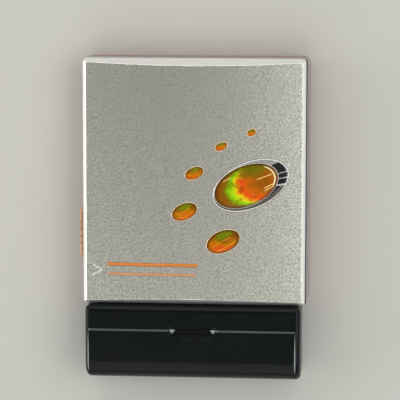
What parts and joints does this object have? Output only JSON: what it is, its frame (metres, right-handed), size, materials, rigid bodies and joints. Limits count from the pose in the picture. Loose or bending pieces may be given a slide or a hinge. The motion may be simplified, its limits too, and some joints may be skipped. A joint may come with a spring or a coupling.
{
  "type": "portable minidisc player",
  "caption": "Flat pocket disc player with a crowned satin lid, oval inlays, a hinged disc holder and a clip-on dry-battery case.",
  "frame": {"origin": "middle of the player's flat back face, without the battery case", "axes": "+Z out of the lid, +X towards the lid hinge, +Y away from the battery case"},
  "size_m": [0.0731, 0.1031, 0.0176],
  "materials": {
    "lid_aluminium": "fine blasted satin with polished edges",
    "frame_silver": "silver satin paint",
    "orange_shell": "copper orange metallic paint",
    "slider_orange": "copper orange metallic",
    "key_silver": "silver metallic",
    "case_black": "satin moulded",
    "steel": "plain sheet and turned steel",
    "can_steel": "drawn can",
    "contact_nickel": "bright nickel",
    "terminal_gold": "gold plated",
    "bezel_chrome": "mirror bright",
    "gem_orange": "clear domed coat over a foil",
    "deck_dark": "fine moulded grain",
    "sled_plastic": "glass-filled moulding",
    "lens_glass": "coated lens",
    "board_green": "solder mask",
    "chip_black": "moulded package",
    "damper_rubber": "soft",
    "cell_wrap": "plain sleeve",
    "dry_cell_wrap": "plain sleeve",
    "wheel_plastic": "knurled moulding"
  },
  "bodies": {
    "root": {"rear_cover": "orange_shell", "mid_frame": "frame_silver", "case_screws": "steel", "hinge_pins": "steel", "deck_plate": "deck_dark", "deck_screws": "steel", "mechanism_chassis": "steel", "chassis_dampers": "damper_rubber", "chassis_screws": "steel", "spindle_motor": "can_steel", "guide_rods": "steel", "sled_motor": "can_steel", "main_board": "board_green", "board_chips": "chip_black", "headphone_jack": "sled_plastic", "key_switches": "sled_plastic", "battery_cell": "cell_wrap", "battery_contacts": "contact_nickel", "door_pin": "steel", "external_terminals": "terminal_gold", "thread_insert": "terminal_gold"},
    "lid": {"lid_panel": "lid_aluminium", "lid_frame": "deck_dark", "disc_holder": "steel", "lid_screws": "steel", "oval_bezel": "bezel_chrome", "large_gem": "gem_orange", "small_gems": "gem_orange", "small_rims": "bezel_chrome"},
    "open_latch": {"open_slider": "slider_orange", "latch_bar": "steel"},
    "hold": {"hold_slider": "key_silver"},
    "jog_push": {"jog_carrier": "deck_dark"},
    "jog_arm": {"jog_lever": "key_silver"},
    "stop_key": {"stop_button": "key_silver"},
    "volume_up_key": {"volume_up_button": "key_silver"},
    "volume_down_key": {"volume_down_button": "key_silver"},
    "group_key": {"group_button": "key_silver"},
    "cell_door": {"battery_door": "orange_shell", "door_contact": "contact_nickel"},
    "spindle": {"turntable": "deck_dark", "clamp_magnet": "can_steel"},
    "sled": {"pickup_sled": "sled_plastic", "objective_lens": "lens_glass"},
    "feed_screw": {"lead_screw": "steel", "lead_screw_gear": "deck_dark"},
    "feed_pinion": {"motor_pinion": "deck_dark"},
    "battery_case": {"case_shell": "case_black", "dry_cell": "dry_cell_wrap", "case_contacts": "contact_nickel", "case_board": "board_green", "terminal_pins": "terminal_gold", "cover_pins": "steel", "locating_pins": "steel"},
    "dry_cell_cover": {"case_cover": "case_black"},
    "thumb_wheel": {"thumb_screw": "wheel_plastic"}
  },
  "joints": [
    {"name": "lid_hinge", "type": "hinge", "parent": "root", "child": "lid", "pos_m": [0.0336, 0, 0.0118], "axis": [0, 1, 0], "range_deg": [0, 28]},
    {"name": "open_slide", "type": "slide", "parent": "root", "child": "open_latch", "axis": [0, -1, 0], "range_m": [0, 0.0016], "stiffness_N_per_m": 200},
    {"name": "hold_slide", "type": "slide", "parent": "root", "child": "hold", "axis": [0, 1, 0], "range_m": [0, 0.002]},
    {"name": "jog_press", "type": "slide", "parent": "root", "child": "jog_push", "axis": [1, 0, 0], "range_m": [0, 0.0005], "stiffness_N_per_m": 300},
    {"name": "jog_rock", "type": "hinge", "parent": "jog_push", "child": "jog_arm", "pos_m": [-0.03255, 0.02, 0.00415], "axis": [0, 0, 1], "range_deg": [-10, 10], "stiffness_Nm_per_rad": 0.002},
    {"name": "stop_press", "type": "slide", "parent": "root", "child": "stop_key", "axis": [1, 0, 0], "range_m": [0, 0.0004], "stiffness_N_per_m": 300},
    {"name": "volume_up_press", "type": "slide", "parent": "root", "child": "volume_up_key", "axis": [1, 0, 0], "range_m": [0, 0.0004], "stiffness_N_per_m": 300},
    {"name": "volume_down_press", "type": "slide", "parent": "root", "child": "volume_down_key", "axis": [1, 0, 0], "range_m": [0, 0.0004], "stiffness_N_per_m": 300},
    {"name": "group_press", "type": "slide", "parent": "root", "child": "group_key", "axis": [1, 0, 0], "range_m": [0, 0.0004], "stiffness_N_per_m": 300},
    {"name": "cell_door_hinge", "type": "hinge", "parent": "root", "child": "cell_door", "pos_m": [0.0335, 0.0389, 0.00415], "axis": [0, 0, -1], "range_deg": [0, 100]},
    {"name": "spindle_turn", "type": "hinge", "parent": "root", "child": "spindle", "pos_m": [-0.0003, 0, 0.007], "axis": [0, 0, 1], "continuous": true},
    {"name": "sled_feed", "type": "slide", "parent": "root", "child": "sled", "axis": [0, 1, 0], "range_m": [0, 0.014]},
    {"name": "feed_screw_turn", "type": "hinge", "parent": "root", "child": "feed_screw", "pos_m": [-0.011, 0.02, 0.0041], "axis": [0, 1, 0], "range_deg": [0, 1681]},
    {"name": "feed_pinion_turn", "type": "hinge", "parent": "root", "child": "feed_pinion", "pos_m": [-0.01405, 0.006, 0.0041], "axis": [0, 1, 0], "range_deg": [-4621, 0]},
    {"name": "case_slide", "type": "slide", "parent": "root", "child": "battery_case", "axis": [0, -1, 0], "range_m": [0, 0.006]},
    {"name": "case_cover_hinge", "type": "hinge", "parent": "battery_case", "child": "dry_cell_cover", "pos_m": [-0.001, -0.0625, 0.0034], "axis": [1, 0, 0], "range_deg": [0, 90]},
    {"name": "thumb_wheel_turn", "type": "hinge", "parent": "battery_case", "child": "thumb_wheel", "pos_m": [0.02635, -0.04525, 0.00415], "axis": [0, 1, 0], "continuous": true}
  ],
  "couplings": [
    {"joint": "feed_screw_turn", "follows": "sled_feed", "rad_per_m": 2094.4},
    {"joint": "feed_pinion_turn", "follows": "sled_feed", "rad_per_m": -5759.6}
  ]
}
